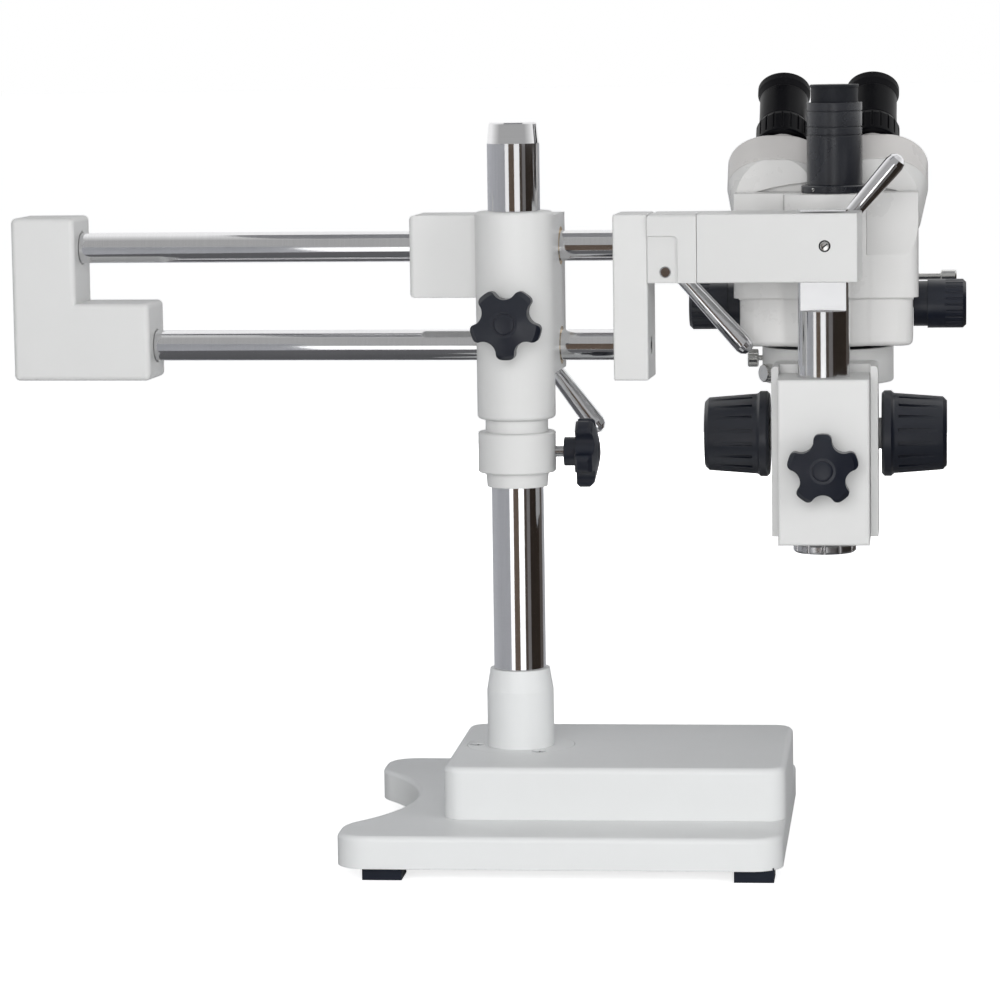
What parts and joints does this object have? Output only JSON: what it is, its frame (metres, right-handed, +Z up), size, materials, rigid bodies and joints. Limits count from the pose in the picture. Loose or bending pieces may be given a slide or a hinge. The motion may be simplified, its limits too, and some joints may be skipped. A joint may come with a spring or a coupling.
{
  "type": "stereo boom stand microscope",
  "caption": "Trinocular stereo microscope hanging from a double arm boom stand with a heavy flat base, chromed pole and bars, star knobs and clamping levers",
  "frame": {"origin": "on the pole's axis, in the plane that the four feet stand on", "axes": "X to the right along the base towards the microscope, Y away from the pole's front, Z up"},
  "size_m": [0.7063, 0.3782, 0.5563],
  "materials": {
    "cast_grey": "satin baked enamel on castings",
    "base_grey": "satin baked enamel on the base",
    "head_grey": "smooth satin enamel on the optical head",
    "arm_grey": "satin baked enamel on the arm",
    "chrome_bar": "ground and chromed bar",
    "chrome_lever": "polished chrome",
    "steel_screw": "zinc plated screw",
    "dark_steel": "blackened steel",
    "brass_bush": "turned brass",
    "knob_black": "satin moulded plastic",
    "focus_black": "satin moulded plastic with ribs",
    "head_black": "satin black enamel",
    "tube_black": "black anodised aluminium",
    "cap_black": "matte moulded plastic",
    "foot_rubber": "moulded rubber",
    "cup_rubber": "soft moulded rubber",
    "lens_glass": "coated glass"
  },
  "bodies": {
    "stand": {"base_plate": "base_grey", "base_block": "base_grey", "rubber_feet": "foot_rubber", "base_screws": "dark_steel", "pole_flange": "cast_grey", "flange_screws": "steel_screw", "pole": "chrome_bar"},
    "collar": {"stop_collar": "cast_grey"},
    "collar_clamp": {"collar_knob": "knob_black", "collar_knob_stud": "steel_screw"},
    "carriage": {"carriage_casting": "cast_grey", "bar_bushes": "brass_bush"},
    "carriage_clamp": {"carriage_knob": "knob_black", "carriage_knob_stud": "steel_screw"},
    "carriage_lever": {"carriage_lever_hub": "chrome_lever", "carriage_lever_handle": "chrome_lever"},
    "boom": {"bar_upper": "chrome_bar", "bar_lower": "chrome_bar", "end_block": "cast_grey", "cross_plate": "cast_grey", "bar_end_screws": "dark_steel", "arm_bracket": "arm_grey"},
    "bracket_lever": {"bracket_lever_hub": "chrome_lever", "bracket_lever_handle": "chrome_lever"},
    "arm": {"arm_body": "arm_grey", "arm_spigot": "steel_screw"},
    "arm_lever": {"arm_lever_hub": "chrome_lever", "arm_lever_handle": "chrome_lever"},
    "hanging_post": {"post": "chrome_bar", "post_stop_disc": "steel_screw"},
    "mount_clamp": {"clamp_block": "cast_grey", "focus_rack": "brass_bush"},
    "mount_clamp_knob": {"clamp_knob": "knob_black", "clamp_knob_stud": "steel_screw"},
    "stage": {"focus_stage": "cast_grey", "shaft_bushes": "steel_screw"},
    "focus_drive": {"pinion_shaft": "steel_screw", "focus_knob_left": "focus_black", "focus_knob_right": "focus_black"},
    "ring_screw_a": {"ring_screw_upper": "steel_screw"},
    "ring_screw_b": {"ring_screw_lower": "steel_screw"},
    "head": {"mount_ring": "head_black", "objective_lenses": "lens_glass", "zoom_body": "head_grey", "head_cover": "head_grey", "camera_port_ring": "tube_black", "camera_tube": "tube_black", "camera_cap": "cap_black"},
    "zoom_drive": {"zoom_shaft": "steel_screw", "zoom_knob_left": "knob_black", "zoom_knob_right": "knob_black"},
    "splitter": {"splitter_rod": "dark_steel"},
    "pod_left": {"prism_housing_left": "head_grey", "eyepiece_left": "tube_black", "eyecup_left": "cup_rubber"},
    "diopter_left": {"diopter_ring_left": "knob_black"},
    "pod_right": {"prism_housing_right": "head_grey", "eyepiece_right": "tube_black", "eyecup_right": "cup_rubber"},
    "diopter_right": {"diopter_ring_right": "knob_black"}
  },
  "joints": [
    {"name": "collar_height", "type": "slide", "parent": "stand", "child": "collar", "axis": [0, 0, 1], "range_m": [-0.13, 0.045]},
    {"name": "collar_knob_turn", "type": "hinge", "parent": "collar", "child": "collar_clamp", "pos_m": [0.03, 0, 0.2867], "axis": [1, 0, 0], "range_deg": [0, 360]},
    {"name": "carriage_swing", "type": "hinge", "parent": "collar", "child": "carriage", "pos_m": [0, 0, 0.4], "axis": [0, 0, 1], "continuous": true},
    {"name": "carriage_knob_turn", "type": "hinge", "parent": "carriage", "child": "carriage_clamp", "pos_m": [-0.00156, -0.02996, 0.3835], "axis": [-0.052, -0.9986, 0], "range_deg": [0, 360]},
    {"name": "carriage_lever_turn", "type": "hinge", "parent": "carriage", "child": "carriage_lever", "pos_m": [0.00543, 0.06581, 0.3615], "axis": [0.052, 0.9986, 0], "range_deg": [-35, 40]},
    {"name": "boom_reach", "type": "slide", "parent": "carriage", "child": "boom", "axis": [0.9986, -0.052, 0], "range_m": [-0.038, 0.245]},
    {"name": "bracket_lever_turn", "type": "hinge", "parent": "boom", "child": "bracket_lever", "pos_m": [0.11128, 0.0603, 0.416], "axis": [0.052, 0.9986, 0], "range_deg": [-30, 40]},
    {"name": "arm_roll", "type": "hinge", "parent": "boom", "child": "arm", "pos_m": [0.13185, 0.03219, 0.433], "axis": [0.9986, -0.052, 0], "range_deg": [-14, 45]},
    {"name": "arm_lever_turn", "type": "hinge", "parent": "arm", "child": "arm_lever", "pos_m": [0.22413, 0.05442, 0.433], "axis": [0.052, 0.9986, 0], "range_deg": [-30, 40]},
    {"name": "post_turn", "type": "hinge", "parent": "arm", "child": "hanging_post", "pos_m": [0.22273, 0.02746, 0.433], "axis": [0, 0, 1], "range_deg": [-20, 15]},
    {"name": "mount_height", "type": "slide", "parent": "hanging_post", "child": "mount_clamp", "axis": [0, 0, 1], "range_m": [0, 0.03]},
    {"name": "mount_knob_turn", "type": "hinge", "parent": "mount_clamp", "child": "mount_clamp_knob", "pos_m": [0.22273, -0.00254, 0.2744], "axis": [0, -1, 0], "range_deg": [0, 360]},
    {"name": "focus_travel", "type": "slide", "parent": "mount_clamp", "child": "stage", "axis": [0, 0, 1], "range_m": [-0.025, 0.025]},
    {"name": "focus_turn", "type": "hinge", "parent": "stage", "child": "focus_drive", "pos_m": [0.22273, 0.07471, 0.2915], "axis": [1, 0, 0], "range_deg": [-206, 206]},
    {"name": "ring_screw_a_turn", "type": "hinge", "parent": "stage", "child": "ring_screw_a", "pos_m": [0.18273, 0.14546, 0.342], "axis": [-1, 0, 0], "range_deg": [0, 360]},
    {"name": "ring_screw_b_turn", "type": "hinge", "parent": "stage", "child": "ring_screw_b", "pos_m": [0.19121, 0.12083, 0.3335], "axis": [-0.788, -0.6157, 0], "range_deg": [0, 360]},
    {"name": "head_turn", "type": "hinge", "parent": "stage", "child": "head", "pos_m": [0.22273, 0.14546, 0.34], "axis": [0, 0, -1], "range_deg": [-30, 30]},
    {"name": "zoom_turn", "type": "hinge", "parent": "head", "child": "zoom_drive", "pos_m": [0.22273, 0.14546, 0.3825], "axis": [1, 0, 0], "range_deg": [-135, 135]},
    {"name": "splitter_pull", "type": "slide", "parent": "head", "child": "splitter", "axis": [1, 0, 0], "range_m": [-0.012, 0]},
    {"name": "pod_left_turn", "type": "hinge", "parent": "head", "child": "pod_left", "pos_m": [0.18893, 0.15666, 0.4688], "axis": [0, 0.7071, 0.7071], "range_deg": [-13, 22]},
    {"name": "pod_right_turn", "type": "hinge", "parent": "head", "child": "pod_right", "pos_m": [0.25653, 0.15666, 0.4688], "axis": [0, 0.7071, 0.7071], "range_deg": [-22, 13]},
    {"name": "diopter_left_turn", "type": "hinge", "parent": "pod_left", "child": "diopter_left", "pos_m": [0.18893, 0.1626, 0.49963], "axis": [0, 0.7071, 0.7071], "range_deg": [-120, 120]},
    {"name": "diopter_right_turn", "type": "hinge", "parent": "pod_right", "child": "diopter_right", "pos_m": [0.25653, 0.1626, 0.49963], "axis": [0, 0.7071, 0.7071], "range_deg": [-120, 120]}
  ],
  "couplings": [
    {"joint": "focus_turn", "follows": "focus_travel", "rad_per_m": 142.86},
    {"joint": "pod_right_turn", "follows": "pod_left_turn", "ratio": -1}
  ]
}
